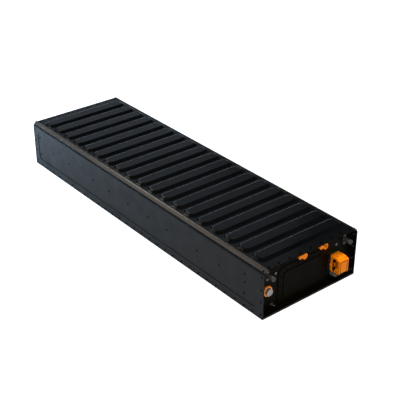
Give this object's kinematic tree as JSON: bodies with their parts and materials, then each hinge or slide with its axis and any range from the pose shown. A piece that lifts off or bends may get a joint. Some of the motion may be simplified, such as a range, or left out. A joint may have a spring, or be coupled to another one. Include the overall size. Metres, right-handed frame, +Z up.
{
  "type": "high-voltage battery pack",
  "caption": "Long sealed battery box with a ribbed lid and pressed side panels; one recessed end carries the power and signal connectors, standoffs and an access cover.",
  "frame": {"origin": "on the floor under the middle of the pack", "axes": "+Z up, the connector end faces -Y, +X to the right when the connector end is looked at"},
  "size_m": [0.704, 2.376, 0.321],
  "materials": {
    "black_paint": "satin black powder coat",
    "rail_paint": "satin black powder coat",
    "end_paint": "semi-gloss black coat",
    "seal_rubber": "matt",
    "black_screw": "black coated steel",
    "zinc": "zinc plated",
    "green_rubber": "matt",
    "black_plastic": "fine grain",
    "orange_plastic": "fine grain",
    "grey_plastic": "fine grain",
    "white_rubber": "matt",
    "bare_aluminium": "turned",
    "standoff_steel": "zinc plated and passivated",
    "copper_alloy": "tinned copper",
    "beam_aluminium": "mill finish",
    "pad_rubber": "matt",
    "module_case": "satin",
    "device_plastic": "satin",
    "fuse_ceramic": "glazed tube",
    "resistor_aluminium": "anodised"
  },
  "bodies": {
    "pack": {"bottom_plate": "black_paint", "left_side_plate": "black_paint", "right_side_plate": "black_paint", "left_cover_rail": "rail_paint", "right_cover_rail": "rail_paint", "front_end_plate": "end_paint", "rear_end_plate": "black_paint", "top_cover": "black_paint", "cover_gasket": "seal_rubber", "cover_screws": "black_screw", "side_screws": "black_screw", "rail_screws": "black_screw", "clinch_nuts": "zinc", "shelf_rivets": "black_screw", "access_cover": "end_paint", "access_gasket": "seal_rubber", "access_screws": "black_screw", "connector_seal": "green_rubber", "connector_header": "black_plastic", "header_screws": "black_screw", "contact_pins": "copper_alloy", "connector_plug": "orange_plastic", "plug_cap": "orange_plastic", "cap_seal": "seal_rubber", "plug_latch": "orange_plastic", "connector_guard": "grey_plastic", "signal_collar": "orange_plastic", "signal_seal": "white_rubber", "signal_receptacle": "black_plastic", "signal_cap": "bare_aluminium", "left_standoff": "standoff_steel", "right_standoff": "standoff_steel", "standoff_screws": "zinc", "earth_stud": "zinc", "panel_inserts": "zinc", "left_cable_clip": "orange_plastic", "right_cable_clip": "orange_plastic", "cross_beams": "beam_aluminium", "front_bulkhead": "beam_aluminium", "rear_bulkhead": "beam_aluminium", "thermal_pads": "pad_rubber", "lower_module_1": "module_case", "lower_module_2": "module_case", "lower_module_3": "module_case", "lower_module_4": "module_case", "lower_module_5": "module_case", "upper_module_1": "module_case", "upper_module_2": "module_case", "upper_module_3": "module_case", "upper_module_4": "module_case", "upper_module_5": "module_case", "module_links": "copper_alloy", "junction_tray": "beam_aluminium", "contactors": "device_plastic", "main_fuse": "fuse_ceramic", "precharge_resistor": "resistor_aluminium", "current_sensor": "device_plastic", "battery_controller": "device_plastic", "output_busbars": "copper_alloy"},
    "lever": {"connector_lever": "orange_plastic"}
  },
  "joints": [
    {"name": "lever_hinge", "type": "hinge", "parent": "pack", "child": "lever", "pos_m": [0.216, -1.165, 0.089], "axis": [1, 0, 0], "range_deg": [0, 80]}
  ]
}
